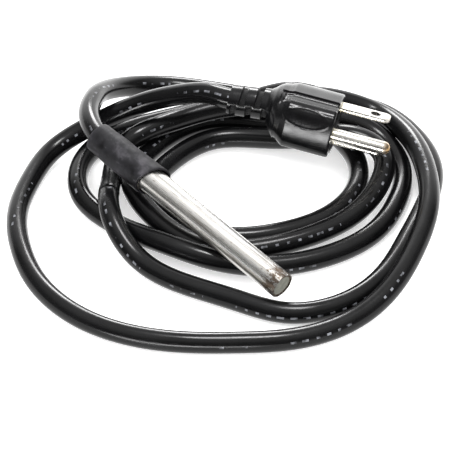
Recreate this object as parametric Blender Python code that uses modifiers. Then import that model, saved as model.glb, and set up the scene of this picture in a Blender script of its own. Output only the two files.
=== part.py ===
"""Small immersion heater for an aquarium: a steel cartridge heater with a shrink-fitted boot, and
its mains lead and three-pin plug, lying in a loose coil on a table.

Frame, in metres: the origin is the centre of the heater's end disc, +X is the level heading from the
boot to that end, and +Z is up. The table is the plane z = TABLE.
Lengths in the tables below are in millimetres. MM turns them into metres.
"""

import math

import bmesh
import bpy
import numpy as np
from mathutils import Matrix, Vector

MM = 0.001

# How the heater lies: its far end is lifted by the strands of lead underneath.
TABLE = -10.6 * MM
HEATER_SLOPE = math.radians(9.5)

# Heater, measured along its axis from the end disc's outer face
SHEATH_RADIUS = 4.76
SHEATH_WALL = 0.51
SHEATH_LENGTH = 82.0
RIM = 0.3
BOOT_START = 63.3
BOOT_END = 91.2
BOOT_SLANT = 0.42
SLANT_LENGTH = 14.0
CORE_RADIUS = 2.6
CORE_LENGTH = 12.8
CORE_COUNT = 4
CORE_START = 4.4
CORE_GAP = 0.3
PIN_RADIUS = 0.5
PIN_OFFSET = 1.25
COIL_RADIUS = 3.1
COIL_WIRE = 0.22
COIL_TURNS = 15
COIL_START = 5.6
COIL_END = 55.0
BUSHING_START = 58.4
BUSHING_LENGTH = 5.0
BUSHING_RADIUS = 4.1
DISC_THICKNESS = 1.6
TIP_START, TIP_END = 1.9, 3.4
MAGNESIA_START, MAGNESIA_END = 3.8, 58.0
MAGNESIA_INNER, MAGNESIA_OUTER = 3.5, 4.12
CRIMP_START, CRIMP_END = 63.8, 69.4
CRIMP_INNER, CRIMP_OUTER = 0.58, 1.0
PIN_END = 66.4
LINK_START = 66.8
BARE_RADIUS = 0.45
FUSE_START, FUSE_END = 72.6, 77.2
FUSE_RADIUS = 1.2
TAG_AT = 72.0
TAG_SIZE = (0.5, 2.0, 5.0)
TAG_CIRCLE = 3.55
TAG_JOIN_CIRCLE = 2.75
SEAL_START, SEAL_END = 79.0, 81.8
SEAL_RADIUS = 4.15
CORE_LEADS_END = 83.8

# Mains lead
LEAD_RADIUS = 3.8
WIRE_RADIUS = 0.95
WIRE_CIRCLE = 1.9
TUBE_POINTS = 150
SPLINE_SAMPLES = 4000
BEND_EFFORT = 14  # millimetres of straight run that one radian of bend counts for

# Plug, in its own frame: +Z out of the front face, +X from the blades to the ground pin
PLUG_PLACE = (-35.6, 65.9, 13.9)
PLUG_TURN = (-98.1, -18.0, -57.3)
BLADE_SPACING = 12.7
BLADE_WIDTH = 6.35
BLADE_THICKNESS = 1.52
BLADE_LENGTH = 17.8
BLADE_CORNER = 2.2
BLADE_HOLE = 1.6
BLADE_HOLE_AT = 12.4
SHANK = 9.5
GROUND_RADIUS = 2.38
GROUND_LENGTH = 21.0
GROUND_OFFSET = 11.9
PLUG_CENTRE = 4.05
PLUG_LENGTH = 39.0

# The lead's route: x, y and height above the table of its centre, chosen by hand
ROUTE = [
    (-83, 0, 24.4), (-89.5, 0.5, 25.2), (-102, 7.5, 24.2), (-110, 17, 21.5), (-115, 26, 17.5),
    (-118, 43, 9), (-111, 58.5, 4.2), (-94, 69.5, 4), (-75, 79, 4), (-57, 80.5, 4), (-37, 76, 4),
    # first loop, the innermost
    (-23, 62.5, 4), (-19.5, 43.5, 4), (-26, 24.5, 4), (-39, 9.5, 4), (-57, 4.5, 4),
    (-74.5, 11, 4), (-80.8, 28, 4), (-78, 47.5, 4.2), (-63, 60.5, 5.2), (-50, 69, 8.5),
    # second loop
    (-40, 74.5, 12), (-29.5, 78.5, 11), (-19.5, 73.5, 9.6), (-12, 54, 6.8), (-14, 33, 6),
    (-23, 15, 5), (-37, 1, 5.2), (-56.5, -2.5, 7.3), (-74.5, 2, 9.5), (-83.2, 11, 8),
    (-88.5, 21.5, 5), (-90.7, 38, 4.5), (-83, 55.6, 5.6), (-67.5, 68.5, 4.6),
    # third loop
    (-53.5, 76, 11.8), (-38, 86.5, 8), (-20.5, 83, 4), (-7.7, 67.3, 4), (-1.8, 48.4, 4),
    (-4.7, 28.7, 4), (-15, 11, 4), (-28.5, -2.6, 6.6), (-46.6, -10, 8), (-68.6, -11.2, 4.2),
    (-89, -9, 4), (-103.3, 5, 4), (-106, 24.3, 4), (-99, 43, 4), (-89, 60.5, 5.6),
    (-79, 71.5, 9.2),
    # fourth loop, under the fifth on the right
    (-70.5, 79.5, 12), (-61, 89, 8.2), (-46.4, 100.2, 4.1), (-26.3, 98.2, 4), (-9.7, 88.5, 4),
    (1.4, 71.8, 4), (9.5, 53.4, 4), (16.1, 34.7, 4), (16.5, 15, 4), (6.3, -3, 4),
    (-12.4, -11.2, 4), (-31.5, -17.6, 4), (-51.5, -19.6, 5.4), (-67.5, -15.5, 11.6),
    (-77.5, -7, 11), (-86, 2.5, 7.2), (-94, 14, 7.4), (-93.3, 22.5, 11.2), (-89, 38, 12),
    (-82, 53, 12.8), (-70, 69.5, 13),
    # fifth loop, the outermost, which ends in the plug
    (-59, 81, 15), (-44, 94.5, 9), (-23.5, 91, 10.6), (-5, 79.5, 11.6), (9, 64.8, 11.2),
    (19, 46, 9.2), (25, 26, 6.5), (24, 7.5, 4), (17, -11, 4), (4, -26.5, 4), (-10.5, -40, 4),
    (-27.6, -50.3, 4), (-47, -54.7, 4), (-67, -52, 4), (-85, -43, 4), (-100, -30, 4),
    (-110, -13.5, 4), (-114.5, 0, 5), (-112, 12, 8.8), (-105.5, 23, 14), (-97, 30.5, 20),
    (-86.5, 36, 26), (-76.5, 40, 30.2),
]

ROUND = 40
SMALL_ROUND = 20

CORE_COLORS = {"black": (0.02, 0.02, 0.02), "white": (0.75, 0.75, 0.72), "green": (0.05, 0.28, 0.08)}


def clear_scene():
    for thing in list(bpy.data.objects):
        bpy.data.objects.remove(thing, do_unlink=True)


def new_collection(name):
    collection = bpy.data.collections.new(name)
    bpy.context.scene.collection.children.link(collection)
    return collection


def material(name, color, roughness, metallic=0.0):
    found = bpy.data.materials.get(name)
    if found:
        return found
    made = bpy.data.materials.new(name)
    made.use_nodes = True
    shader = made.node_tree.nodes["Principled BSDF"]
    shader.inputs["Base Color"].default_value = (*color, 1.0)
    shader.inputs["Roughness"].default_value = roughness
    shader.inputs["Metallic"].default_value = metallic
    return made


def steel():
    return material("stainless_steel", (0.62, 0.60, 0.56), 0.28, 1.0)


def ceramic():
    return material("ceramic", (0.86, 0.84, 0.78), 0.6)


def nickel_wire():
    return material("nickel_wire", (0.55, 0.53, 0.50), 0.35, 1.0)


def black_pvc():
    return material("black_pvc", (0.012, 0.012, 0.013), 0.22)


def boot_rubber():
    return material("boot_rubber", (0.035, 0.035, 0.038), 0.55)


def plated_brass():
    return material("plated_brass", (0.80, 0.79, 0.74), 0.22, 1.0)


def bare_brass():
    return material("bare_brass", (0.72, 0.55, 0.28), 0.3, 1.0)


def insulation(core):
    return material("core_" + core, CORE_COLORS[core], 0.4)


def add_object(name, data, parent, finish, collection):
    made = bpy.data.objects.new(name, data)
    collection.objects.link(made)
    made.parent = parent
    if finish:
        data.materials.append(finish)
    return made


def empty(name, location, rotation, collection):
    made = bpy.data.objects.new(name, None)
    made.location = location
    made.rotation_euler = rotation
    collection.objects.link(made)
    return made


def smooth_sides(made, angle=35):
    made.data.shade_smooth()
    made.data.set_sharp_from_angle(angle=math.radians(angle))


def turned(name, profile, parent, finish, collection, sides=ROUND, closed=True, centre=(0, 0)):
    """Turns (radius, z) points in millimetres about local Z. The profile runs down the outer side."""
    mesh = bpy.data.meshes.new(name)
    points = [(radius * MM, 0, z * MM) for radius, z in profile]
    count = len(points)
    edges = [(i, (i + 1) % count) for i in range(count if closed else count - 1)]
    mesh.from_pydata(points, edges, [])
    made = add_object(name, mesh, parent, finish, collection)
    made.location = (centre[0] * MM, centre[1] * MM, 0)
    screw = made.modifiers.new("turn", "SCREW")
    screw.steps = sides
    screw.render_steps = sides
    screw.use_merge_vertices = True
    screw.merge_threshold = 1e-5
    screw.use_smooth_shade = True
    return made


def solid_turned(name, profile, parent, finish, collection, sides=ROUND, centre=(0, 0)):
    """As turned, for a solid whose profile starts and ends on the axis."""
    return turned(name, profile, parent, finish, collection, sides, False, centre)


def wire(name, points, radius, parent, finish, collection, resolution=2, radii=None):
    """A round wire along points in millimetres, with a relative radius at each one."""
    curve = bpy.data.curves.new(name, "CURVE")
    curve.dimensions = "3D"
    curve.bevel_depth = radius * MM
    curve.bevel_resolution = resolution
    curve.use_fill_caps = True
    spline = curve.splines.new("POLY")
    spline.points.add(len(points) - 1)
    for index, point in enumerate(points):
        spline.points[index].co = (*(value * MM for value in point), 1.0)
        spline.points[index].radius = radii[index] if radii else 1.0
    return add_object(name, curve, parent, finish, collection)


def cylinder_cutter(name, radius, bottom, top, centre, parent, cutters, sides=SMALL_ROUND):
    mesh = bpy.data.meshes.new(name)
    shape = bmesh.new()
    bmesh.ops.create_cone(
        shape, cap_ends=True, segments=sides, radius1=radius * MM, radius2=radius * MM,
        depth=(top - bottom) * MM,
    )
    shape.to_mesh(mesh)
    shape.free()
    made = add_object(name, mesh, parent, None, cutters)
    made.location = Vector((centre[0], centre[1], (top + bottom) / 2)) * MM
    return hide(made)


def block(name, size, centre, parent, finish, collection):
    mesh = bpy.data.meshes.new(name)
    shape = bmesh.new()
    bmesh.ops.create_cube(shape, size=1.0, matrix=Matrix.Diagonal((*(Vector(size) * MM), 1.0)))
    shape.to_mesh(mesh)
    shape.free()
    made = add_object(name, mesh, parent, finish, collection)
    made.location = Vector(centre) * MM
    return made


def box_cutter(name, size, centre, parent, cutters):
    return hide(block(name, size, centre, parent, None, cutters))


def hide(made):
    made.hide_render = True
    made.display_type = "WIRE"
    return made


def cut(made, *tools):
    for tool in tools:
        boolean = made.modifiers.new("cut_" + tool.name, "BOOLEAN")
        boolean.operation = "DIFFERENCE"
        boolean.object = tool


def wire_places(radius=WIRE_CIRCLE):
    """Where the three cores lie round the lead's centre: live, earth, neutral."""
    return [
        (radius * math.cos(turn), radius * math.sin(turn))
        for turn in (0, math.tau / 3, -math.tau / 3)
    ]


def smooth_route(points, count):
    """Points along a natural cubic spline through the given points, closer together in the bends.

    The first two given points stay as they are, so that the lead is straight inside the boot."""
    points = np.array(points, float)
    steps = np.linalg.norm(np.diff(points, axis=0), axis=1) ** 0.5
    knots = np.concatenate([[0], np.cumsum(steps)])
    last = len(points) - 1
    system = np.zeros((last + 1, last + 1))
    right = np.zeros((last + 1, 3))
    system[0, 0] = system[last, last] = 1
    for i in range(1, last):
        system[i, i - 1 : i + 2] = steps[i - 1], 2 * (steps[i - 1] + steps[i]), steps[i]
        rise = (points[i + 1] - points[i]) / steps[i]
        right[i] = 6 * (rise - (points[i] - points[i - 1]) / steps[i - 1])
    second = np.linalg.solve(system, right)
    place = np.linspace(0, knots[-1], SPLINE_SAMPLES)
    index = np.clip(np.searchsorted(knots, place, side="right") - 1, 0, last - 1)
    step = steps[index][:, None]
    before = (knots[index + 1] - place)[:, None]
    after = (place - knots[index])[:, None]
    fine = (
        second[index] * before**3 + second[index + 1] * after**3
    ) / (6 * step)
    fine += (points[index] / step - second[index] * step / 6) * before
    fine += (points[index + 1] / step - second[index + 1] * step / 6) * after
    runs = np.diff(fine, axis=0)
    lengths = np.linalg.norm(runs, axis=1)
    headings = runs / lengths[:, None]
    turning = np.arccos(np.clip((headings[1:] * headings[:-1]).sum(axis=1), -1, 1))
    effort = np.concatenate([[0], np.cumsum(lengths + BEND_EFFORT * np.append(turning, 0))])
    mouth = np.interp(knots[1], place, effort)
    spread = np.append(0, np.linspace(mouth, effort[-1], count - 1))
    return np.stack([np.interp(spread, effort, fine[:, axis]) for axis in range(3)], 1)


# Heater


def heater_shell(axis, parts):
    outer, inner = SHEATH_RADIUS, SHEATH_RADIUS - SHEATH_WALL
    turned(
        "sheath_tube",
        [(inner, RIM), (outer - 0.14, RIM), (outer, RIM - 0.14), (outer, -SHEATH_LENGTH),
         (inner, -SHEATH_LENGTH)],
        axis, steel(), parts,
    )
    solid_turned(
        "end_disc",
        [(0, 0), (inner - 0.35, 0), (inner - 0.06, -0.25), (inner - 0.06, -DISC_THICKNESS),
         (0, -DISC_THICKNESS)],
        axis, steel(), parts,
    )


def shrink_boot(axis, parts):
    """The boot's bore steps down from the sheath to the lead, and its end on the sheath slants."""
    profile = [
        (5.5, -BOOT_START), (6.1, -BOOT_START - 0.1), (6.28, -BOOT_START - 0.6), (6.15, -68),
        (6.0, -73), (5.95, -78), (5.85, -82), (5.6, -86), (5.5, -90.5), (5.3, -BOOT_END),
        (5.0, -BOOT_END), (4.97, -90), (4.8, -85), (5.35, -82.5), (5.4, -70), (5.35, -66),
    ]
    mesh = bpy.data.meshes.new("shrink_boot")
    shape = bmesh.new()
    rows = []
    for radius, z in profile:
        slant = BOOT_SLANT * max(0, 1 - (-BOOT_START - z) / SLANT_LENGTH)
        rows.append([])
        for step in range(ROUND):
            turn = math.tau * step / ROUND
            x, y = radius * math.cos(turn), radius * math.sin(turn)
            rows[-1].append(shape.verts.new(Vector((x, y, z + slant * y)) * MM))
    for row, below in zip(rows, rows[1:] + rows[:1]):
        for step in range(ROUND):
            after = (step + 1) % ROUND
            shape.faces.new((row[step], row[after], below[after], below[step]))
    bmesh.ops.recalc_face_normals(shape, faces=shape.faces)
    shape.to_mesh(mesh)
    shape.free()
    smooth_sides(add_object("shrink_boot", mesh, axis, boot_rubber(), parts))
    turned(
        "boot_liner",
        [(4.86, -66), (5.2, -66), (5.2, -SEAL_END), (4.86, -SEAL_END)],
        axis, material("sealant", (0.10, 0.09, 0.08), 0.5), parts,
    )


def ceramic_with_bores(name, radius, top, bottom, bores, bore_radius, axis, parts, cutters):
    made = solid_turned(
        name, [(0, top), (radius, top), (radius, bottom), (0, bottom)], axis, ceramic(), parts,
        SMALL_ROUND,
    )
    for number, place in enumerate(bores):
        tool = cylinder_cutter(
            f"{name}_bore_{number}", bore_radius, bottom - 1, top + 1, place, axis, cutters, 12
        )
        cut(made, tool)
    return made


def element(axis, parts, cutters):
    """Heating wire on its ceramic cores, in packed magnesia."""
    solid_turned(
        "tip_insulator",
        [(0, -TIP_START), (BUSHING_RADIUS, -TIP_START), (BUSHING_RADIUS, -TIP_END), (0, -TIP_END)],
        axis, ceramic(), parts, SMALL_ROUND,
    )
    pins = [(PIN_OFFSET, 0), (-PIN_OFFSET, 0)]
    for number in range(CORE_COUNT):
        top = -CORE_START - number * (CORE_LENGTH + CORE_GAP)
        ceramic_with_bores(
            f"ceramic_core_{number + 1}", CORE_RADIUS, top, top - CORE_LENGTH, pins, 0.75,
            axis, parts, cutters,
        )
    turned(
        "magnesia_fill",
        [(MAGNESIA_INNER, -MAGNESIA_START), (MAGNESIA_OUTER, -MAGNESIA_START),
         (MAGNESIA_OUTER, -MAGNESIA_END), (MAGNESIA_INNER, -MAGNESIA_END)], axis,
        material("magnesia", (0.90, 0.88, 0.84), 0.9), parts, SMALL_ROUND,
    )
    wire("heating_coil", coil_points(), COIL_WIRE, axis, nickel_wire(), parts, 1)
    wire("terminal_pin_live", [(PIN_OFFSET, 0, -4.15), (PIN_OFFSET, 0, -PIN_END)], PIN_RADIUS,
         axis, nickel_wire(), parts)
    wire("terminal_pin_neutral", [(-PIN_OFFSET, 0, -45), (-PIN_OFFSET, 0, -PIN_END)], PIN_RADIUS,
         axis, nickel_wire(), parts)
    ceramic_with_bores(
        "cold_end_bushing", BUSHING_RADIUS, -BUSHING_START, -BUSHING_START - BUSHING_LENGTH, pins, 0.62,
        axis, parts, cutters,
    )


def coil_points():
    """The helix, with a tail at each end that runs in to the side of its terminal pin."""
    per_turn = 10
    reach = PIN_OFFSET + PIN_RADIUS + COIL_WIRE + 0.06
    first, last = -3.9, -57.2
    points = [(reach, 0, first), (COIL_RADIUS - 0.3, 0, first), (COIL_RADIUS, 0, first - 0.5)]
    count = COIL_TURNS * per_turn
    for step in range(count + 1):
        turn = math.tau * (step / per_turn) * (1 + 0.5 / COIL_TURNS)
        z = -COIL_START - (COIL_END - COIL_START) * step / count
        points.append((COIL_RADIUS * math.cos(turn), COIL_RADIUS * math.sin(turn), z))
    points += [(-COIL_RADIUS, 0, last + 0.5), (0.3 - COIL_RADIUS, 0, last), (-reach, 0, last)]
    return points


def cold_end(axis, parts, cutters):
    """Crimps, wires, thermal fuse, earth tag and the potting that seals the sheath."""
    live, earth, neutral = wire_places()
    for name, side in (("crimp_live", 1), ("crimp_neutral", -1)):
        turned(
            name,
            [(CRIMP_INNER, -CRIMP_START), (CRIMP_OUTER, -CRIMP_START), (CRIMP_OUTER, -CRIMP_END),
             (CRIMP_INNER, -CRIMP_END)],
            axis, steel(), parts, 12, centre=(side * PIN_OFFSET, 0),
        )
    wire("thermal_fuse", [(*live, -FUSE_START), (*live, -FUSE_END)], FUSE_RADIUS, axis,
         bare_brass(), parts, 4)
    wire("fuse_link", [(PIN_OFFSET, 0, -LINK_START), (PIN_OFFSET, 0, -70.2), (*live, -71.6),
         (*live, 0.3 - FUSE_START)], BARE_RADIUS, axis, nickel_wire(), parts)
    wire("wire_live", [(*live, -FUSE_END - 0.3), (*live, -CORE_LEADS_END)], WIRE_RADIUS, axis,
         insulation("black"), parts, 3)
    wire("wire_neutral", [(-PIN_OFFSET, 0, -LINK_START), (-PIN_OFFSET, 0, -69.8),
         (*neutral, -73.5), (*neutral, -74), (*neutral, -CORE_LEADS_END)], WIRE_RADIUS, axis,
         insulation("white"), parts, 3,
         [BARE_RADIUS / WIRE_RADIUS] * 3 + [1.0] * 2)
    tag_turn = math.tau / 3
    tag_place = [TAG_CIRCLE * math.cos(tag_turn), TAG_CIRCLE * math.sin(tag_turn)]
    join = [TAG_JOIN_CIRCLE * math.cos(tag_turn), TAG_JOIN_CIRCLE * math.sin(tag_turn)]
    wire("wire_earth", [(*join, -70), (*join, -73), (*earth, -75.5), (*earth, -76),
         (*earth, -CORE_LEADS_END)], WIRE_RADIUS, axis, insulation("green"), parts, 3,
         [BARE_RADIUS / WIRE_RADIUS] * 3 + [1.0] * 2)
    tag = block("earth_tag", TAG_SIZE, (*tag_place, -TAG_AT), axis, steel(), parts)
    tag.rotation_euler = (0, 0, tag_turn)
    seal = solid_turned(
        "potting_seal",
        [(0, -SEAL_START), (SEAL_RADIUS, -SEAL_START), (SEAL_RADIUS, -SEAL_END), (0, -SEAL_END)],
        axis,
        material("potting", (0.16, 0.15, 0.14), 0.5), parts, SMALL_ROUND,
    )
    for number, place in enumerate((live, earth, neutral)):
        cut(seal, cylinder_cutter(f"seal_bore_{number}", WIRE_RADIUS + 0.1, -SEAL_END - 1,
                                  1 - SEAL_START, place, axis, cutters, 12))


# Plug


def ring(half_x, half_y, z, power=2.0, shift=0.0, count=36):
    """A rounded outline: power 2 is an ellipse, and more is squarer. shift moves it in y."""
    points = []
    for step in range(count):
        turn = math.tau * step / count
        across, along = math.cos(turn), math.sin(turn)
        x = PLUG_CENTRE + half_x * math.copysign(abs(across) ** (2 / power), across)
        y = shift + half_y * math.copysign(abs(along) ** (2 / power), along)
        points.append(Vector((x, y, z)) * MM)
    return points


def loft(name, rings, parent, finish, parts):
    """Skins rings of equal count, listed from the back to the front, and caps both ends."""
    mesh = bpy.data.meshes.new(name)
    shape = bmesh.new()
    rows = [[shape.verts.new(point) for point in outline] for outline in rings]
    count = len(rows[0])
    for lower, upper in zip(rows, rows[1:]):
        for step in range(count):
            after = (step + 1) % count
            shape.faces.new((lower[step], lower[after], upper[after], upper[step]))
    shape.faces.new(list(reversed(rows[0])))
    shape.faces.new(rows[-1])
    bmesh.ops.recalc_face_normals(shape, faces=shape.faces)
    shape.to_mesh(mesh)
    shape.free()
    made = add_object(name, mesh, parent, finish, parts)
    smooth_sides(made)
    return made


BODY = [  # z, half width in x, half thickness in y, squareness, the neck's shift in y as it bends
    (-PLUG_LENGTH, 5.3, 5.3, 2.0, 0), (-37.8, 5.5, 5.5, 2.0, 0), (-32, 5.6, 5.6, 2.0, -0.8),
    (-27, 5.7, 5.7, 2.0, -1.4), (-25, 6.1, 6.0, 2.0, -1.4), (-24, 7.1, 6.8, 2.1, -1.3),
    (-22.5, 9.0, 8.2, 2.4, -1.0), (-21, 10.2, 9.0, 2.8, -0.6), (-19, 10.9, 9.3, 3.4, -0.2),
    (-17.6, 11.6, 9.7, 4.0, 0), (-16.8, 12.0, 9.9, 4.4, 0), (-0.6, 12.0, 9.9, 4.5, 0),
    (0, 11.7, 9.6, 4.3, 0),
]
LEAD_BEND = [(-37, -0.1), (-30, -1.0), (-15.5, -1.0)]  # z, and the lead's shift in y there


def neck_shift(z):
    return float(np.interp(z, [row[0] for row in BODY], [row[4] for row in BODY]))


def plug_body(axis, parts, cutters):
    body = loft(
        "plug_overmould",
        [ring(x, y, z, power, shift) for z, x, y, power, shift in BODY],
        axis, black_pvc(), parts,
    )
    pocket = loft(
        "pocket_cutter",
        [ring(10.3, 8.3, z, 3.0) for z in (-4.3, 1.0)], axis, None, cutters,
    )
    bore = LEAD_RADIUS + 0.25
    lead_bore = loft(
        "lead_bore",
        [ring(bore, bore, z, shift=shift) for z, shift in [(-PLUG_LENGTH - 1, 0.05), *LEAD_BEND]],
        axis, None, cutters,
    )
    cut(
        body,
        hide(pocket),
        hide(lead_bore),
        box_cutter("cavity_cutter", (19.0, 15.4, 12.0), (5.2, 0, -10.0), axis, cutters),
    )
    for side, places in ((-1, (-34.0, -28.4)), (1, (-36.8, -31.2))):
        for number, z in enumerate(places):
            cut(body, box_cutter(f"relief_slot_{side}_{number}", (14.0, 4.0, 1.8),
                                 (PLUG_CENTRE, side * 6.7 + neck_shift(z), z), axis, cutters))
    insert = loft(
        "plug_insert",
        [ring(10.0, 8.0, z, 3.0) for z in (-4.0, 0.0)],
        axis, material("plug_bridge", (0.02, 0.02, 0.02), 0.4), parts,
    )
    for side in (-1, 1):
        cut(insert, box_cutter(f"blade_slot_{side}", (BLADE_WIDTH + 0.2, BLADE_THICKNESS + 0.2, 8),
                               (0, side * BLADE_SPACING / 2, -2), axis, cutters))
    cut(insert, cylinder_cutter("ground_slot", GROUND_RADIUS + 0.1, -6, 2, (GROUND_OFFSET, 0),
                                axis, cutters, 24))


def blade_outline():
    """A plain shank and a nose with two rounded corners, as (x, z) points."""
    half = BLADE_WIDTH / 2
    flat = half - BLADE_CORNER
    points = [(-half, -SHANK), (half, -SHANK)]
    steps = 4
    for side in (1, -1):
        for step in range(steps + 1):
            turn = math.pi / 2 * (step if side > 0 else steps - step) / steps
            points.append((side * (flat + BLADE_CORNER * math.cos(turn)),
                           BLADE_LENGTH - BLADE_CORNER * (1 - math.sin(turn))))
    return points


def blade(name, side, axis, parts, cutters):
    outline = blade_outline()
    mesh = bpy.data.meshes.new(name)
    shape = bmesh.new()
    near, far = (
        [shape.verts.new(Vector((x, y * BLADE_THICKNESS / 2, z)) * MM) for x, z in outline]
        for y in (-1, 1)
    )
    shape.faces.new(near)
    shape.faces.new(list(reversed(far)))
    for step in range(len(outline)):
        after = (step + 1) % len(outline)
        shape.faces.new((near[step], far[step], far[after], near[after]))
    bmesh.ops.recalc_face_normals(shape, faces=shape.faces)
    shape.to_mesh(mesh)
    shape.free()
    made = add_object(name, mesh, axis, plated_brass(), parts)
    made.location = (0, side * BLADE_SPACING / 2 * MM, 0)
    hole = cylinder_cutter(name + "_hole", BLADE_HOLE, -3, 3, (0, 0), axis, cutters, 20)
    hole.location = (0, side * BLADE_SPACING / 2 * MM, BLADE_HOLE_AT * MM)
    hole.rotation_euler = (math.radians(90), 0, 0)
    cut(made, hole)


def prongs(axis, parts, cutters):
    blade("blade_live", 1, axis, parts, cutters)
    blade("blade_neutral", -1, axis, parts, cutters)
    dome = [
        (GROUND_RADIUS * math.sin(turn), GROUND_LENGTH - GROUND_RADIUS * (1 - math.cos(turn)))
        for turn in (math.radians(15 * step) for step in range(7))
    ]
    solid_turned(
        "ground_pin", dome + [(GROUND_RADIUS, -SHANK), (0, -SHANK)], axis, plated_brass(), parts,
        24, centre=(GROUND_OFFSET, 0),
    )


def plug_wires(axis, parts):
    """The three cores, from the end of the lead to the prongs' shanks."""
    lead_end, bend = LEAD_BEND[1]
    places = [(x, y + bend) for x, y in wire_places()]
    ends = [(0, BLADE_SPACING / 2), (GROUND_OFFSET, 0), (0, -BLADE_SPACING / 2)]
    names = ["plug_wire_live", "plug_wire_earth", "plug_wire_neutral"]
    cores = ["black", "green", "white"]
    # The cores lie in the order that lets each one reach its prong without crossing another.
    order = [places[1], places[0], places[2]]
    for name, core, (x, y), (end_x, end_y) in zip(names, cores, order, ends):
        start_x = PLUG_CENTRE + x
        wire(
            name,
            [(start_x, y, lead_end + 0.3), (start_x, y, -17), (start_x, (y - bend) * 1.3, -15.2),
             (end_x, end_y * 0.9, -12.2), (end_x, end_y, -11.2), (end_x, end_y, -SHANK - 0.3)],
            WIRE_RADIUS - 0.05, axis, insulation(core), parts, 2,
        )


# Lead


def power_cord(axis, parts):
    table = TABLE / MM
    points = [Vector((x, y, height + table)) for x, y, height in ROUTE]
    in_plug = [
        axis.matrix_world @ (Vector((PLUG_CENTRE, shift, z)) * MM) / MM
        for z, shift in [(-PLUG_LENGTH - 2, 0.1), *LEAD_BEND[:2]]
    ]
    points.append(in_plug[0])
    route = [*smooth_route(points, TUBE_POINTS), *in_plug[1:]]
    wire("power_cord", route, LEAD_RADIUS, None, black_pvc(), parts, 3)


def build():
    clear_scene()
    parts = new_collection("aquarium_heater")
    cutters = new_collection("cutters")
    heater_axis = empty("heater_axis", (0, 0, 0), (0, math.radians(90) + HEATER_SLOPE, 0), parts)
    plug_axis = empty(
        "plug_axis",
        Vector(PLUG_PLACE) * MM,
        [math.radians(turn) for turn in PLUG_TURN],
        parts,
    )
    bpy.context.view_layer.update()
    heater_shell(heater_axis, parts)
    shrink_boot(heater_axis, parts)
    element(heater_axis, parts, cutters)
    cold_end(heater_axis, parts, cutters)
    plug_body(plug_axis, parts, cutters)
    prongs(plug_axis, parts, cutters)
    plug_wires(plug_axis, parts)
    power_cord(plug_axis, parts)


build()
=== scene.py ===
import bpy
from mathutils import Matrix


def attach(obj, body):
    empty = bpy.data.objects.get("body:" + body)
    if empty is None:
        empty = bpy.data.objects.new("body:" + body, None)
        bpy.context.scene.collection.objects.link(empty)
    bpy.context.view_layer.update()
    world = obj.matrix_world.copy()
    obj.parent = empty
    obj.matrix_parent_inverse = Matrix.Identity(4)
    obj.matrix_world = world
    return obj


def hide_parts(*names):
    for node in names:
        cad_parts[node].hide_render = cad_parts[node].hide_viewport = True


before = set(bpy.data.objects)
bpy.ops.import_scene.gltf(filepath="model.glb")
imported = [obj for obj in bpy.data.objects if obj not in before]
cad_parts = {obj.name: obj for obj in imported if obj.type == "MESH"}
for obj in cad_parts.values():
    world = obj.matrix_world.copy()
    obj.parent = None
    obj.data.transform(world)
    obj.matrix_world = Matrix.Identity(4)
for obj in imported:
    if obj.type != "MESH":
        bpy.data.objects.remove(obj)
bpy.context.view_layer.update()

import math

import bmesh
import bpy
import numpy as np
from mathutils import Euler, Matrix, Vector, noise

# Everything is in metres, in the CAD's frame: the origin is the heater's end, +Z is up.
TABLE = -0.0106
HEATER_SLOPE = math.radians(9.5)
HEATER = Matrix.Rotation(math.radians(90) + HEATER_SLOPE, 4, "Y")
PLUG = Matrix.LocRotScale(
    Vector((-0.0356, 0.0659, 0.0139)),
    Euler([math.radians(turn) for turn in (-98.1, -18.0, -57.3)]),
    None,
)
PLUG_CENTRE = 0.00405
PLUG_LENGTH = 0.039
LEAD_BEND = [(-0.041, 0.0001), (-0.037, -0.0001), (-0.030, -0.0010)]  # z in the plug, shift in y
LEAD_RADIUS = 0.0038
SHEATH_OUTER, SHEATH_INNER, SHEATH_LENGTH = 0.00476, 0.00425, 0.082
BOOT_START, BOOT_SLANT, SLANT_LENGTH = 0.0633, 0.42, 0.014
BLADE_OFFSET = 0.00635
SHANK = 0.0095
BLADE_HOLE, BLADE_HOLE_AT = 0.0016, 0.0124
PIN_RADIUS, PIN_LENGTH, PIN_OFFSET = 0.00238, 0.0210, 0.0119
NEAR_AXIS = 0.00002
PRINT_SIDE = Vector((0.70, -0.71, 0))
PRINT_TILT, PRINT_DRIFT = math.radians(28), math.radians(22)
DASH_PITCH = 0.0040
DASH_HALF = 0.017  # share of the way round

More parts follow.
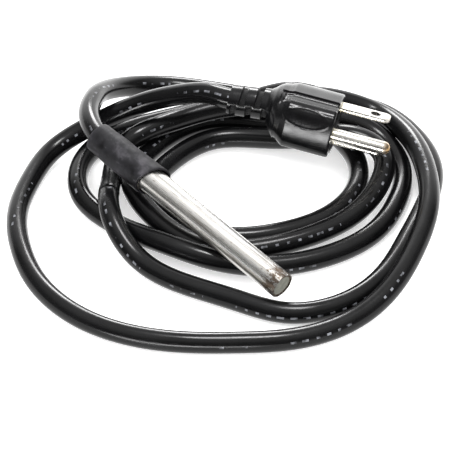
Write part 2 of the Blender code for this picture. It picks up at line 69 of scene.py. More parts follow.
# The lead's route: x, y and height above the table of its centre
ROUTE = [
    (-0.083, 0, 0.0244), (-0.0895, 0.0005, 0.0252), (-0.102, 0.0075, 0.0242),
    (-0.110, 0.017, 0.0215), (-0.115, 0.026, 0.0175), (-0.118, 0.043, 0.009),
    (-0.111, 0.0585, 0.0042), (-0.094, 0.0695, 0.004), (-0.075, 0.079, 0.004),
    (-0.057, 0.0805, 0.004), (-0.037, 0.076, 0.004),
    # first loop, the innermost
    (-0.023, 0.0625, 0.004), (-0.0195, 0.0435, 0.004), (-0.026, 0.0245, 0.004),
    (-0.039, 0.0095, 0.004), (-0.057, 0.0045, 0.004), (-0.0745, 0.011, 0.004),
    (-0.0808, 0.028, 0.004), (-0.078, 0.0475, 0.0042), (-0.063, 0.0605, 0.0052),
    (-0.050, 0.069, 0.0085),
    # second loop
    (-0.040, 0.0745, 0.012), (-0.0295, 0.0785, 0.011), (-0.0195, 0.0735, 0.0096),
    (-0.012, 0.054, 0.0068), (-0.014, 0.033, 0.006), (-0.023, 0.015, 0.005),
    (-0.037, 0.001, 0.0052), (-0.0565, -0.0025, 0.0073), (-0.0745, 0.002, 0.0095),
    (-0.0832, 0.011, 0.008), (-0.0885, 0.0215, 0.005), (-0.0907, 0.038, 0.0045),
    (-0.083, 0.0556, 0.0056), (-0.0675, 0.0685, 0.0046),
    # third loop
    (-0.0535, 0.076, 0.0118), (-0.038, 0.0865, 0.008), (-0.0205, 0.083, 0.004),
    (-0.0077, 0.0673, 0.004), (-0.0018, 0.0484, 0.004), (-0.0047, 0.0287, 0.004),
    (-0.015, 0.011, 0.004), (-0.0285, -0.0026, 0.0066), (-0.0466, -0.010, 0.008),
    (-0.0686, -0.0112, 0.0042), (-0.089, -0.009, 0.004), (-0.1033, 0.005, 0.004),
    (-0.106, 0.0243, 0.004), (-0.099, 0.043, 0.004), (-0.089, 0.0605, 0.0056),
    (-0.079, 0.0715, 0.0092),
    # fourth loop, under the fifth on the right
    (-0.0705, 0.0795, 0.012), (-0.061, 0.089, 0.0082), (-0.0464, 0.1002, 0.0041),
    (-0.0263, 0.0982, 0.004), (-0.0097, 0.0885, 0.004), (0.0014, 0.0718, 0.004),
    (0.0095, 0.0534, 0.004), (0.0161, 0.0347, 0.004), (0.0165, 0.015, 0.004),
    (0.0063, -0.003, 0.004), (-0.0124, -0.0112, 0.004), (-0.0315, -0.0176, 0.004),
    (-0.0515, -0.0196, 0.0054), (-0.0675, -0.0155, 0.0116), (-0.0775, -0.007, 0.011),
    (-0.086, 0.0025, 0.0072), (-0.094, 0.014, 0.0074), (-0.0933, 0.0225, 0.0112),
    (-0.089, 0.038, 0.012), (-0.082, 0.053, 0.0128), (-0.070, 0.0695, 0.013),
    # fifth loop, the outermost, which ends in the plug
    (-0.059, 0.081, 0.015), (-0.044, 0.0945, 0.009), (-0.0235, 0.091, 0.0106),
    (-0.005, 0.0795, 0.0116), (0.009, 0.0648, 0.0112), (0.019, 0.046, 0.0092),
    (0.025, 0.026, 0.0065), (0.024, 0.0075, 0.004), (0.017, -0.011, 0.004),
    (0.004, -0.0265, 0.004), (-0.0105, -0.040, 0.004), (-0.0276, -0.0503, 0.004),
    (-0.047, -0.0547, 0.004), (-0.067, -0.052, 0.004), (-0.085, -0.043, 0.004),
    (-0.100, -0.030, 0.004), (-0.110, -0.0135, 0.004), (-0.1145, 0, 0.005),
    (-0.112, 0.012, 0.0088), (-0.1055, 0.023, 0.014), (-0.097, 0.0305, 0.020),
    (-0.0865, 0.036, 0.026), (-0.0765, 0.040, 0.0302),
]


# Materials


class Look:
    """One procedural material: a Principled shader, with short calls for the nodes that feed it."""

    def __init__(self, name, metallic=0.0, roughness=0.5, place=None, **sockets):
        self.material = bpy.data.materials.new(name)
        self.material.use_nodes = True
        self.tree = self.material.node_tree
        self.shader = self.tree.nodes["Principled BSDF"]
        self.shader.inputs["Metallic"].default_value = metallic
        self.shader.inputs["Roughness"].default_value = roughness
        for socket, value in sockets.items():
            self.shader.inputs[socket.replace("_", " ")].default_value = value
        self.where = self.tree.nodes.new("ShaderNodeTexCoord")
        self.local = self.where.outputs["Object"]
        if place:
            back = place.inverted()
            self.local = self.add(
                "Mapping", {"Vector": self.local, "Location": back.translation,
                            "Rotation": back.to_euler()}
            ).outputs["Vector"]

    def add(self, kind, inputs=None, **settings):
        node = self.tree.nodes.new("ShaderNode" + kind)
        for key, value in settings.items():
            setattr(node, key, value)
        for key, value in (inputs or {}).items():
            if isinstance(value, bpy.types.NodeSocket):
                self.tree.links.new(value, node.inputs[key])
            else:
                node.inputs[key].default_value = value
        return node

    def noise(self, scale, detail=3.0, rough=0.5, stretch=(1, 1, 1)):
        """Noise in the frame of place, stretched on each axis."""
        stretched = self.add("Mapping", {"Vector": self.local, "Scale": stretch})
        return self.add(
            "TexNoise",
            {"Vector": stretched.outputs["Vector"], "Scale": scale, "Detail": detail,
             "Roughness": rough},
        ).outputs["Fac"]

    def ramp(self, value, *stops, ease="LINEAR"):
        """stops are (place, colour or grey)."""
        node = self.add("ValToRGB", {"Fac": value})
        node.color_ramp.interpolation = ease
        stones = node.color_ramp.elements
        while len(stones) < len(stops):
            stones.new(0.5)
        for stone, (place, color) in zip(stones, stops):
            color = (color, color, color) if isinstance(color, (int, float)) else color
            stone.position, stone.color = place, (*color, 1.0)
        return node.outputs["Color"]

    def mix(self, amount, first, second, blend="MIX"):
        node = self.add("Mix", data_type="RGBA", blend_type=blend)
        for key, value in ((0, amount), (6, first), (7, second)):
            if isinstance(value, bpy.types.NodeSocket):
                self.tree.links.new(value, node.inputs[key])
            else:
                node.inputs[key].default_value = value if key == 0 else (*value, 1.0)
        return node.outputs[2]

    def math(self, operation, *values):
        return self.add("Math", dict(enumerate(values)), operation=operation).outputs[0]

    def feed(self, socket, value):
        self.tree.links.new(value, self.shader.inputs[socket])

    def bump(self, height, strength=0.3, distance=0.0001):
        made = self.add("Bump", {"Height": height, "Strength": strength, "Distance": distance})
        self.feed("Normal", made.outputs["Normal"])


def cord_look():
    """Glossy black jacket: faint smudges, fine dust, and worn pale dashes along one side."""
    look = Look("cord_jacket", roughness=0.2, Specular_IOR_Level=0.42)
    split = look.add("SeparateXYZ", {"Vector": look.where.outputs["UV"]})
    along, around = split.outputs["X"], split.outputs["Y"]
    smudge = look.noise(60, 4.0, 0.6)
    dust = look.noise(900, 2.0, 0.7)
    base = look.ramp(smudge, (0.3, (0.0012, 0.0012, 0.0013)), (0.75, (0.0032, 0.0032, 0.0036)))
    # Plain dashes that mean nothing, of uneven length and worn, in broken groups along one side
    place = look.math("MULTIPLY", along, 1 / DASH_PITCH)
    cell = look.math("FLOOR", place)
    chance = look.add("TexWhiteNoise", {"W": cell}, noise_dimensions="1D").outputs["Value"]
    share = look.math("MULTIPLY_ADD", chance, 0.36, 0.24)
    drawn = look.math("LESS_THAN", look.math("FRACT", place), share)
    off = look.math("ABSOLUTE", look.math("SUBTRACT", around, 0.5))
    strip = look.math("LESS_THAN", off, DASH_HALF)
    word = look.add("TexWhiteNoise", {"W": look.math("FLOOR", look.math("MULTIPLY", along, 80.0))},
                    noise_dimensions="1D").outputs["Value"]
    group = look.math("GREATER_THAN", word, 0.42)
    worn = look.ramp(look.noise(260, 2.0, 0.5), (0.40, 0.0), (0.60, 1.0))
    mark = look.math("MULTIPLY", look.math("MULTIPLY", drawn, group),
                     look.math("MULTIPLY", strip, worn))
    look.feed("Base Color", look.mix(look.math("MULTIPLY", mark, 0.5), base,
                                     (0.30, 0.31, 0.34)))
    look.feed("Roughness", look.ramp(look.math("ADD", look.math("MULTIPLY", smudge, 0.7),
                                               look.math("MULTIPLY", dust, 0.3)),
                                     (0.3, 0.13), (0.7, 0.3)))
    look.bump(look.math("ADD", look.noise(160, 3.0), look.math("MULTIPLY", dust, 0.25)), 0.12,
              0.00012)
    return look.material


def plug_look():
    look = Look("plug_pvc", roughness=0.25, place=PLUG, Specular_IOR_Level=0.45)
    smudge = look.noise(110, 4.0, 0.6)
    look.feed("Base Color", look.ramp(smudge, (0.3, (0.0016, 0.0016, 0.0018)),
                                      (0.75, (0.0042, 0.0042, 0.0048))))
    # The slots are dull, as the mould leaves them.
    recess = look.add("Attribute", attribute_name="recess").outputs["Fac"]
    polished = look.ramp(look.noise(240, 3.0), (0.3, 0.13), (0.7, 0.24))
    look.feed("Roughness", look.mix(recess, polished, (0.75, 0.75, 0.75)))
    look.bump(look.noise(1500, 2.0, 0.6), 0.14, 0.00008)
    return look.material


def face_look():
    look = Look("plug_bridge", roughness=0.45)
    look.feed("Base Color", look.ramp(look.noise(300, 3.0), (0.3, (0.012, 0.012, 0.013)),
                                      (0.7, (0.026, 0.026, 0.028))))
    look.feed("Roughness", look.ramp(look.noise(700, 2.0), (0.3, 0.35), (0.7, 0.55)))
    look.bump(look.noise(2600, 2.0), 0.2, 0.00006)
    return look.material


def boot_look():
    """Matte shrink-fit rubber with a chalky bloom and fine wrinkles across it."""
    look = Look("boot_rubber", roughness=0.5, place=HEATER, Specular_IOR_Level=0.28)
    cloud = look.noise(140, 5.0, 0.62)
    scuff = look.noise(900, 3.0, 0.7, stretch=(1, 1, 0.35))
    shade = look.ramp(cloud, (0.34, (0.0035, 0.0033, 0.004)), (0.52, (0.012, 0.0115, 0.014)),
                      (0.68, (0.048, 0.045, 0.052)))
    look.feed("Base Color", look.mix(look.ramp(scuff, (0.62, 0.0), (0.8, 0.5)), shade,
                                     (0.085, 0.080, 0.090)))
    look.feed("Roughness", look.ramp(cloud, (0.35, 0.36), (0.68, 0.62)))
    wrinkle = look.noise(260, 4.0, 0.6, stretch=(0.6, 0.6, 1.8))
    look.bump(look.math("ADD", wrinkle, look.math("MULTIPLY", scuff, 0.35)), 0.45, 0.00022)
    return look.material


def steel_look():
    """Drawn stainless tube: streaks along it, water marks, and brown oxide towards the end."""
    look = Look("sheath_steel", metallic=1.0, roughness=0.3, place=HEATER)
    streak = look.noise(1300, 4.0, 0.7, stretch=(1, 1, 0.035))
    wide = look.noise(260, 2.0, 0.5, stretch=(1, 1, 0.05))
    spots = look.noise(560, 5.0, 0.75, stretch=(1, 1, 0.5))
    metal = look.ramp(wide, (0.36, (0.42, 0.40, 0.36)), (0.44, (0.86, 0.84, 0.80)),
                      (0.62, (0.95, 0.94, 0.92)))
    metal = look.mix(look.ramp(streak, (0.54, 0.0), (0.62, 0.75)), metal, (0.20, 0.17, 0.14))
    split = look.add("SeparateXYZ", {"Vector": look.local})
    depth = split.outputs["Z"]
    # 1 at the end, 0 from 14 mm back
    near_end = look.ramp(look.math("MULTIPLY", depth, -1 / 0.014), (0.06, 1.0), (0.26, 0.78),
                         (0.5, 0.3), (1.0, 0.0))
    patch = look.ramp(look.math("ADD", look.math("MULTIPLY", near_end, 0.24), spots),
                      (0.63, 0.0), (0.72, 1.0))
    oxide = look.ramp(spots, (0.35, (0.03, 0.02, 0.014)), (0.65, (0.14, 0.095, 0.06)))
    look.feed("Base Color", look.mix(look.math("MULTIPLY", patch, 0.92), metal, oxide))
    look.feed("Roughness", look.ramp(look.math("ADD", streak, look.math("MULTIPLY", patch, 0.3)),
                                     (0.35, 0.2), (0.85, 0.5)))
    look.bump(look.math("ADD", streak, look.math("MULTIPLY", spots, 0.4)), 0.10, 0.00004)
    return look.material


def end_look():
    """The dull end disc: grey-green, with oxide towards its rim."""
    look = Look("end_face", metallic=0.75, roughness=0.5, place=HEATER)
    split = look.add("SeparateXYZ", {"Vector": look.local})
    flat = look.add("CombineXYZ", {"X": split.outputs["X"], "Y": split.outputs["Y"], "Z": 0.0})
    radius = look.add("VectorMath", {0: flat.outputs[0]}, operation="LENGTH").outputs["Value"]
    cloud = look.noise(380, 5.0, 0.65)
    face = look.ramp(cloud, (0.3, (0.13, 0.13, 0.105)), (0.7, (0.34, 0.34, 0.29)))
    rim = look.ramp(look.math("ADD", look.math("MULTIPLY", radius, 1 / 0.0045),
                              look.math("MULTIPLY", cloud, 0.25)), (0.92, 0.0), (1.08, 1.0))
    look.feed("Base Color", look.mix(rim, face, (0.12, 0.075, 0.045)))
    look.feed("Roughness", look.ramp(cloud, (0.3, 0.38), (0.7, 0.62)))
    look.bump(cloud, 0.4, 0.00012)
    return look.material


def plate_look(name, tip_from, tip_to, drilled=False):
    """Nickel plate over brass: drawn lines, handling marks, brass showing past tip_from, and, when
    drilled, painted shade in and round the hole.
    """
    look = Look(name, metallic=1.0, roughness=0.2, place=PLUG)
    line = look.noise(1600, 3.0, 0.6, stretch=(1, 1, 0.04))
    mark = look.noise(700, 4.0, 0.7)
    metal = look.ramp(line, (0.35, (0.70, 0.68, 0.62)), (0.6, (0.88, 0.86, 0.81)))
    split = look.add("SeparateXYZ", {"Vector": look.local})
    place = look.math("ADD", split.outputs["Z"], look.math("MULTIPLY", mark, 0.0035))
    base = look.ramp(look.math("MULTIPLY", place, 1 / 0.004), (0.25, 1.0), (1.0, 0.0))
    metal = look.mix(look.math("MULTIPLY", base, 0.55), metal, (0.72, 0.62, 0.36))
    worn = look.add("MapRange", {"Value": place, "From Min": tip_from + 0.00175,
                                 "From Max": tip_to + 0.00175}).outputs["Result"]
    metal = look.mix(worn, metal, (0.55, 0.30, 0.06))
    # Painted shade: the bore of the drilled hole and a thin ring round it are darkened to near black.
    if drilled:
        out = look.math("SUBTRACT", split.outputs["Z"], BLADE_HOLE_AT)
        reach = look.math("SQRT", look.math("ADD", look.math("MULTIPLY", out, out),
                                            look.math("POWER", split.outputs["X"], 2.0)))
        rim = look.ramp(look.math("MULTIPLY", reach, 1 / 0.0025), (0.72, 1.0), (0.84, 0.0))
        metal = look.mix(look.math("MULTIPLY", rim, 0.9), metal, (0.06, 0.055, 0.05))
    look.feed("Base Color", metal)
    look.feed("Roughness", look.ramp(look.math("ADD", line, look.math("MULTIPLY", mark, 0.5)),
                                     (0.5, 0.14), (1.0, 0.36)))
    look.bump(line, 0.15, 0.00004)
    return look.material


def inner_look(name, dark, light, roughness, metallic=0.0, grain=600, bump=0.25):
    """A finish for a piece inside the heater or the plug."""
    look = Look(name, metallic=metallic, roughness=roughness)
    cloud = look.noise(grain, 4.0, 0.6)
    look.feed("Base Color", look.ramp(cloud, (0.3, dark), (0.7, light)))
    look.feed("Roughness", look.ramp(cloud, (0.3, roughness - 0.1), (0.7, roughness + 0.1)))
    look.bump(look.noise(grain * 4, 2.0, 0.6), bump, 0.00005)
    return look.material


def floor_look():
    look = Look("pale_floor", roughness=0.9, Specular_IOR_Level=0.1)
    look.feed("Base Color", look.ramp(look.noise(8, 2.0), (0.2, 0.90), (0.8, 0.93)))
    look.shader.inputs["Emission Color"].default_value = (1, 1, 1, 1)
    look.shader.inputs["Emission Strength"].default_value = FLOOR_GLOW
    return look.material


# Mesh building


def add_piece(name, mesh, finish, replaced, place=None, smooth_angle=35):
    made = bpy.data.objects.new(name, mesh)
    bpy.context.scene.collection.objects.link(made)
    if place is not None:
        mesh.transform(place)
    mesh.materials.append(finish)
    mesh.shade_smooth()
    if smooth_angle:
        mesh.set_sharp_from_angle(angle=math.radians(smooth_angle))
    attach(made, "root")
    if replaced:
        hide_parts(*replaced)
    return made


def skin(name, rows, close=False, caps=True):
    """A mesh through rows of points, each row a closed ring. close joins the last row to the first."""
    mesh = bpy.data.meshes.new(name)
    count = len(rows[0])
    points = [tuple(point) for row in rows for point in row]
    faces = []
    last = len(rows) if close else len(rows) - 1
    for row in range(last):
        near, far = row * count, (row + 1) % len(rows) * count
        for step in range(count):
            after = (step + 1) % count
            faces.append((near + step, near + after, far + after, far + step))
    if caps and not close:
        faces.append(tuple(reversed(range(count))))
        faces.append(tuple(range(len(points) - count, len(points))))
    mesh.from_pydata(points, [], faces)
    mesh.validate()
    shape = bmesh.new()
    shape.from_mesh(mesh)
    bmesh.ops.recalc_face_normals(shape, faces=shape.faces)
    shape.to_mesh(mesh)
    shape.free()
    return mesh


def turned(name, profile, sides, wobble=None, close=True):
    """Turns (radius, z) points about local Z. wobble(turn, radius, z) returns the changed point."""
    rows = []
    for radius, z in profile:
        row = []
        for step in range(sides):
            turn = math.tau * step / sides
            r, h = wobble(turn, radius, z) if wobble else (radius, z)
            row.append((r * math.cos(turn), r * math.sin(turn), h))
        rows.append(row)
    return skin(name, rows, close)


def finer(profile, step):
    """The profile with extra points, so that no run is longer than step."""
    points = []
    for (r0, z0), (r1, z1) in zip(profile, profile[1:] + profile[:1]):
        parts = max(1, math.ceil(math.hypot(r1 - r0, z1 - z0) / step))
        points += [(r0 + (r1 - r0) * k / parts, z0 + (z1 - z0) * k / parts)
                   for k in range(parts)]
    return points


# Lead


def smooth_route(points):
    """Points 1.2 mm apart on a natural cubic spline. The first two given points stay straight."""
    points = np.array(points, float)
    steps = np.linalg.norm(np.diff(points, axis=0), axis=1) ** 0.5
    knots = np.concatenate([[0], np.cumsum(steps)])
    last = len(points) - 1
    system = np.zeros((last + 1, last + 1))
    right = np.zeros((last + 1, 3))
    system[0, 0] = system[last, last] = 1
    for i in range(1, last):
        system[i, i - 1 : i + 2] = steps[i - 1], 2 * (steps[i - 1] + steps[i]), steps[i]
        rise = (points[i + 1] - points[i]) / steps[i]
        right[i] = 6 * (rise - (points[i] - points[i - 1]) / steps[i - 1])
    second = np.linalg.solve(system, right)
    place = np.linspace(knots[1], knots[-1], 8000)
    index = np.clip(np.searchsorted(knots, place, side="right") - 1, 0, last - 1)
    step = steps[index][:, None]
    before = (knots[index + 1] - place)[:, None]
    after = (place - knots[index])[:, None]
    fine = (second[index] * before**3 + second[index + 1] * after**3) / (6 * step)
    fine += (points[index] / step - second[index] * step / 6) * before
    fine += (points[index + 1] / step - second[index + 1] * step / 6) * after
    lengths = np.concatenate([[0], np.cumsum(np.linalg.norm(np.diff(fine, axis=0), axis=1))])
    spread = np.linspace(0, lengths[-1], int(lengths[-1] / 0.0012))
    fine = np.stack([np.interp(spread, lengths, fine[:, axis]) for axis in range(3)], 1)
    return [points[0], *fine]


def lead_path():
    points = [(x, y, height + TABLE) for x, y, height in ROUTE]
    in_plug = [PLUG @ Vector((PLUG_CENTRE, shift, z)) for z, shift in LEAD_BEND]
    points.append(in_plug[0])
    return [Vector(point) for point in smooth_route(points)] + in_plug[1:]


def lead_mesh(path, sides=32):
    """A tube along path. Its UVs are the length along it and the share of the way round."""
    rows, lengths = [], [0.0]
    for number, point in enumerate(path):
        heading = (path[min(number + 1, len(path) - 1)] - path[max(number - 1, 0)]).normalized()
        if number:
            lengths.append(lengths[-1] + (point - path[number - 1]).length)
        # The printed side faces the same way all round the coil, give or take a slow drift.
        tilt = PRINT_TILT + PRINT_DRIFT * math.sin(math.tau * lengths[-1] / 0.41)
        normal = -(PRINT_SIDE * math.cos(tilt) + Vector((0, 0, 1)) * math.sin(tilt))
        normal = (normal - heading * normal.dot(heading)).normalized()
        side = heading.cross(normal)
        # The three cores show faintly through the jacket, laid in a long twist.
        lay = math.tau * lengths[-1] / 0.09
        row = []
        for step in range(sides):
            turn = math.tau * step / sides
            radius = LEAD_RADIUS * (0.997 + 0.003 * math.cos(3 * (turn - lay)))
            row.append(point + (normal * math.cos(turn) + side * math.sin(turn)) * radius)
        rows.append(row)
    mesh = skin("mains_lead", rows)
    chart = mesh.uv_layers.new(name="along_and_around").data
    for face in mesh.polygons:
        for corner in face.loop_indices:
            vertex = mesh.loops[corner].vertex_index
            row, step = divmod(vertex, sides)
            if len(face.vertices) == 4 and step == 0 and max(
                    v % sides for v in face.vertices) == sides - 1:
                step = sides
            chart[corner].uv = (lengths[row], step / sides)
    return mesh


def lead():
    path = lead_path()
    made = add_piece("mains_lead", lead_mesh(path), cord_look(), ["power_cord"],
                     smooth_angle=60)
    return made, path


# Heater


def heater():
    steel = steel_look()
    outer, inner = SHEATH_OUTER, SHEATH_INNER
    tube = finer([(inner, 0.00016), (inner + 0.00015, 0.0003), (outer - 0.00016, 0.0003),
                  (outer - 0.00004, 0.00022), (outer, 0.00008), (outer, -SHEATH_LENGTH),
                  (inner, -SHEATH_LENGTH)], 0.0024)

    def dents(turn, radius, z):
        spot = noise.noise(Vector((math.cos(turn) * 0.7, math.sin(turn) * 0.7, z * 160)))
        return radius - 0.00004 * max(spot, 0), z

    add_piece("sheath", turned("sheath", tube, 96, dents), steel, ["sheath_tube"], HEATER)

    face = [(0.0, -0.00012), (0.0013, -0.00012), (0.0026, -0.0001), (0.0034, -0.00004),
            (0.0039, -0.00002), (0.00408, -0.0001), (0.00419, -0.0003), (0.00419, -0.0016)]

    def uneven(turn, radius, z):
        lump = noise.noise(Vector((radius * 900 * math.cos(turn), radius * 900 * math.sin(turn), z)))
        return radius, z + 0.00003 * min(lump, 0)

    profile = [(max(r, NEAR_AXIS), z) for r, z in face]
    add_piece("heater_end_face", turned("heater_end_face", profile, 64, uneven, close=False),
              end_look(), ["end_disc"], HEATER)

    rim = [(0.0055, -BOOT_START), (0.0058, -0.0631), (0.0061, -0.0632), (0.00628, -0.0638),
           (0.00622, -0.0656), (0.00615, -0.068), (0.0060, -0.073), (0.00595, -0.078),
           (0.00585, -0.082), (0.0056, -0.086), (0.0055, -0.0904), (0.0054, -0.0910),
           (0.0053, -0.0912), (0.0050, -0.0912), (0.00497, -0.0907), (0.00497, -0.0900),
           (0.0048, -0.085), (0.00535, -0.0825), (0.0054, -0.070), (0.00535, -0.066)]

    def slack(turn, radius, z):
        slant = BOOT_SLANT * max(0, 1 - (-BOOT_START - z) / SLANT_LENGTH)
        height = z + slant * radius * math.sin(turn)
        if z < -0.0835 and radius < 0.005 or radius < 0.0055 and z < -0.065:
            return radius, height
        across = Vector((math.cos(turn), math.sin(turn), 0))
        lump = noise.noise(across * 1.1 + Vector((0, 0, z * 190)))
        fold = noise.noise(across * 0.6 + Vector((7, 3, z * 620)))
        return radius - 0.00026 * max(lump, 0) - 0.00010 * max(fold, 0), height

    add_piece("boot", turned("boot", finer(rim, 0.0009), 96, slack), boot_look(),
              ["shrink_boot"], HEATER, smooth_angle=70)


# Plug


BODY = [  # z, half width in x, half thickness in y, squareness, the neck's shift in y
    (-0.0390, 0.0053, 0.0053, 2.0, 0), (-0.0378, 0.0055, 0.0055, 2.0, 0),
    (-0.0320, 0.0056, 0.0056, 2.0, -0.0008), (-0.0270, 0.0057, 0.0057, 2.0, -0.0014),
    (-0.0250, 0.0061, 0.0060, 2.0, -0.0014), (-0.0240, 0.0071, 0.0068, 2.1, -0.0013),
    (-0.0225, 0.0090, 0.0082, 2.4, -0.0010), (-0.0210, 0.0102, 0.0090, 2.8, -0.0006),
    (-0.0190, 0.0109, 0.0093, 3.4, -0.0002), (-0.0176, 0.0116, 0.0097, 4.0, 0),
    (-0.0168, 0.0120, 0.0099, 4.4, 0), (-0.0006, 0.0120, 0.0099, 4.5, 0),
    (0.0, 0.0117, 0.0096, 4.3, 0),
]
# Slots of the strain relief: where each is along the plug, and 1 for the lower half
SLOTS = [(-0.0340, 0), (-0.0284, 0), (-0.0368, 1), (-0.0312, 1), (-0.0256, 1)]
SLOT_HALF = 0.0010
SLOT_DEPTH = 0.0014


def smooth_step(low, high, value):
    share = min(max((value - low) / (high - low), 0.0), 1.0)
    return share * share * (3 - 2 * share)


def slot_depth(z, turn):
    """How far the surface of the strain relief is cut in."""
    depth = 0.0
    for place, lower in SLOTS:
        inside = 1 - smooth_step(SLOT_HALF - 0.00012, SLOT_HALF + 0.00012, abs(z - place))
        # The two bridges lie at the sides, and each slot covers a little less than half the way.
        facing = math.sin(turn) if lower else -math.sin(turn)
        reach = smooth_step(-0.02, 0.10, facing)
        depth = max(depth, inside * reach * SLOT_DEPTH)
    return depth


def plug_levels():
    levels = set(np.round(np.arange(-0.0390, -0.0200, 0.0005), 6))
    levels |= set(np.round(np.arange(-0.0200, 0.00001, 0.0002), 6))
    for place, _ in SLOTS:
        for edge in (-SLOT_HALF, SLOT_HALF):
            levels |= {round(place + edge + d, 6) for d in (-0.00013, -0.00004, 0.00004, 0.00013)}
    return sorted(float(level) for level in levels)


def plug_body():
    table = np.array(BODY)
    sides = 256
    rows, shaded = [], []
    for z in plug_levels():
        half_x, half_y, power, shift = (np.interp(z, table[:, 0], table[:, k])
                                        for k in (1, 2, 3, 4))
        row = []
        for step in range(sides):
            turn = math.tau * step / sides
            across, along = math.cos(turn), math.sin(turn)
            # Even steps of angle would crowd the corners of a squarish outline.
            reach = (abs(across / half_x) ** power + abs(along / half_y) ** power) ** (-1 / power)
            x, y = reach * across, reach * along
            cut = slot_depth(z, turn)
            keep = (reach - cut - grip(PLUG_CENTRE + x, y, z)) / reach
            shaded.append(cut / SLOT_DEPTH)
            row.append((PLUG_CENTRE + x * keep, y * keep + shift, z))
        rows.append(row)
    mesh = skin("plug_body", rows)
    mesh.attributes.new("recess", "FLOAT", "POINT").data.foreach_set("value", shaded)
    return mesh


def grip(x, y, z):
    """How far the moulded details of the grip lie below the body's outline, in plug coordinates."""
    if z < -0.0205 or y > 0 and x < 0.006:
        return 0.0
    front = smooth_step(-0.0200, -0.0192, z)
    # A channel along each corner on the ground pin's side
    channel = (smooth_step(0.0072, 0.0082, x) - smooth_step(0.0118, 0.0127, x)) * (abs(y) > 0.006)
    depth = 0.00055 * front * channel
    # The broad face is slightly crowned.
    if x > 0.0060:
        depth += 0.0005 * min(abs(y) / 0.007, 1.1) ** 2
    # Ribs across an oval on one half of it
    if x > 0.0140 and y < 0:
        oval = ((z + 0.0100) / 0.0078) ** 2 + ((y + 0.0046) / 0.0034) ** 2
        if oval < 1:
            field = min(1.0, (1 - oval) * 6)
            depth += 0.00016 * field * (0.5 - 0.5 * math.cos(math.tau * z / 0.0012))
        elif oval < 1.22:
            depth -= 0.00008
    # The thin line where the two halves of the mould met
    if x > 0.0120:
        depth -= 0.00010 * max(0.0, 1 - abs(abs(y) - 0.0072) / 0.00022)
    return depth


def plug():
    body = add_piece("plug_body", plug_body(), plug_look(), ["plug_overmould"], PLUG,
                     smooth_angle=60)
    return [body, *prongs()]


def prongs():
    plate = plate_look("prong_plate", 0.016, 0.03, drilled=True)
    made = []
    for name, node, side in (("neutral_blade", "blade_neutral", -1),
                             ("live_blade", "blade_live", 1)):
        made.append(add_piece(name, blade_mesh(name, side), plate, [node], PLUG,
                              smooth_angle=30))
    dome = [(PIN_RADIUS * math.cos(turn), PIN_LENGTH - PIN_RADIUS + PIN_RADIUS * math.sin(turn))
            for turn in (math.radians(7.5 * step) for step in range(12))]
    profile = [(NEAR_AXIS, -SHANK), (PIN_RADIUS, -SHANK), (PIN_RADIUS, 0.0), (PIN_RADIUS, 0.009),
               *dome, (NEAR_AXIS, PIN_LENGTH)]
    mesh = turned("ground_prong", profile, 64, close=False)
    mesh.transform(Matrix.Translation((PIN_OFFSET, 0, 0)))
    made.append(add_piece("ground_prong", mesh, plate_look("pin_plate", 0.0182, 0.0212),
                          ["ground_pin"], PLUG))
    return made


def blade_mesh(name, side):
    """A flat blade with a drilled hole and softly broken edges."""
    half, corner, length, thick = 0.003175, 0.0022, 0.0178, 0.00076
    hole, hole_at = BLADE_HOLE, BLADE_HOLE_AT
    steps = 8
    outline = [(-half, -SHANK), (half, -SHANK), (half, 0.0), (half, hole_at)]
    for turn_side in (1, -1):
        for step in range(steps + 1):
            turn = math.pi / 2 * (step if turn_side > 0 else steps - step) / steps
            outline.append((turn_side * (half - corner + corner * math.cos(turn)),
                            length - corner * (1 - math.sin(turn))))
    outline += [(-half, hole_at), (-half, 0.0)]
    mesh = bpy.data.meshes.new(name)
    shape = bmesh.new()
    edges = []
    drilled = [(hole * math.cos(math.tau * k / 24), hole_at + hole * math.sin(math.tau * k / 24))
               for k in range(24)]
    for ring in (outline, drilled):
        verts = [shape.verts.new((x, -thick, z)) for x, z in ring]
        edges += [shape.edges.new((verts[k], verts[(k + 1) % len(verts)]))
                  for k in range(len(verts))]
    filled = bmesh.ops.triangle_fill(shape, edges=edges, use_beauty=True)
    faces = [item for item in filled["geom"] if isinstance(item, bmesh.types.BMFace)]
    pushed = bmesh.ops.extrude_face_region(shape, geom=faces)
    top = [item for item in pushed["geom"] if isinstance(item, bmesh.types.BMVert)]
    bmesh.ops.translate(shape, verts=top, vec=(0, 2 * thick, 0))
    bmesh.ops.recalc_face_normals(shape, faces=shape.faces)
    rims = [edge for edge in shape.edges
            if len(edge.link_faces) == 2 and edge.calc_face_angle(0) > math.radians(60)
            and abs(edge.verts[0].co.y - edge.verts[1].co.y) < 1e-7]
    bmesh.ops.bevel(shape, geom=rims, offset=0.00014, segments=2, affect="EDGES", profile=0.5)
    shape.to_mesh(mesh)
    shape.free()
    mesh.transform(Matrix.Translation((0, side * BLADE_OFFSET, 0)))
    return mesh


# Pieces that stay as the CAD has them


